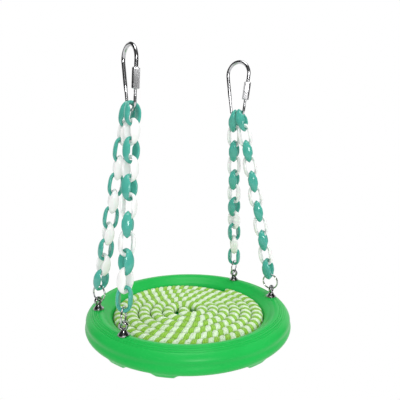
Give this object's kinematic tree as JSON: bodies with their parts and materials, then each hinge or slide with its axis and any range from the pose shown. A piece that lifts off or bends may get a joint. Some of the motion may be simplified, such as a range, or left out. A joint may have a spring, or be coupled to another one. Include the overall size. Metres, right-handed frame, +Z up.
{
  "type": "bird hammock",
  "caption": "Hanging bird hammock: a round plastic rim tray with a coiled rope mat, slung by plastic link chains from screw-lock hooks.",
  "frame": {"origin": "on the tray's axis, at the plane of its feet, which is the middle of the object's underside", "axes": "+Z up the tray's axis to the hooks; +X from the left hook to the right hook; -Y is the side seen in front"},
  "size_m": [0.18, 0.18, 0.2306],
  "materials": {
    "tray": "gloss",
    "rope": "matte",
    "link_teal": "gloss",
    "link_white": "gloss",
    "steel": "polished"
  },
  "bodies": {
    "hangers": {"hook_left": "steel", "hook_right": "steel"},
    "left_sleeve": {"sleeve_left": "steel"},
    "right_sleeve": {"sleeve_right": "steel"},
    "top_links": {"link_back_left_01": "link_teal", "link_front_left_01": "link_teal", "link_front_right_01": "link_teal", "link_back_right_01": "link_teal"},
    "left_chains": {"link_back_left_02": "link_white", "link_back_left_03": "link_teal", "link_back_left_04": "link_white", "link_back_left_05": "link_teal", "link_back_left_06": "link_white", "link_back_left_07": "link_teal", "link_back_left_08": "link_white", "link_back_left_09": "link_teal", "link_back_left_10": "link_white", "link_back_left_11": "link_teal", "link_front_left_02": "link_white", "link_front_left_03": "link_teal", "link_front_left_04": "link_white", "link_front_left_05": "link_teal", "link_front_left_06": "link_white", "link_front_left_07": "link_teal", "link_front_left_08": "link_white", "link_front_left_09": "link_teal", "link_front_left_10": "link_white", "link_front_left_11": "link_teal", "jump_ring_back_left": "steel", "jump_ring_front_left": "steel"},
    "right_chains": {"link_front_right_02": "link_white", "link_front_right_03": "link_teal", "link_front_right_04": "link_white", "link_front_right_05": "link_teal", "link_front_right_06": "link_white", "link_front_right_07": "link_teal", "link_front_right_08": "link_white", "link_front_right_09": "link_teal", "link_front_right_10": "link_white", "link_front_right_11": "link_teal", "link_back_right_02": "link_white", "link_back_right_03": "link_teal", "link_back_right_04": "link_white", "link_back_right_05": "link_teal", "link_back_right_06": "link_white", "link_back_right_07": "link_teal", "link_back_right_08": "link_white", "link_back_right_09": "link_teal", "link_back_right_10": "link_white", "link_back_right_11": "link_teal"},
    "tray": {"tray": "tray", "rope_mat": "rope", "eye_nuts": "steel", "eye_washers": "steel", "eye_bolt_back_left": "steel", "eye_bolt_front_left": "steel", "eye_bolt_front_right": "steel", "eye_bolt_back_right": "steel", "jump_ring_front_right": "steel", "jump_ring_back_right": "steel"}
  },
  "joints": [
    {"name": "swing", "type": "hinge", "parent": "hangers", "child": "top_links", "pos_m": [0, 0, 0.19], "axis": [1, 0, 0], "range_deg": [-18, 18]},
    {"name": "sway", "type": "hinge", "parent": "top_links", "child": "left_chains", "pos_m": [-0.05213, 0, 0.17457], "axis": [0, 1, 0], "range_deg": [-9, 9]},
    {"name": "tray_level", "type": "hinge", "parent": "left_chains", "child": "tray", "pos_m": [-0.07295, 0, 0.03047], "axis": [0, 1, 0], "range_deg": [-6.7, 6.7]},
    {"name": "right_sway", "type": "hinge", "parent": "top_links", "child": "right_chains", "pos_m": [0.05213, 0, 0.17457], "axis": [0, 1, 0], "range_deg": [-9.3, 9.3]},
    {"name": "left_sleeve_travel", "type": "slide", "parent": "hangers", "child": "left_sleeve", "axis": [0.0116, -0.1326, 0.9911], "range_m": [0, 0.0044]},
    {"name": "right_sleeve_travel", "type": "slide", "parent": "hangers", "child": "right_sleeve", "axis": [0.0541, -0.1216, 0.9911], "range_m": [0, 0.0044]}
  ],
  "couplings": [
    {"joint": "tray_level", "follows": "sway", "ratio": -0.71452},
    {"joint": "right_sway", "follows": "sway", "ratio": 1}
  ]
}
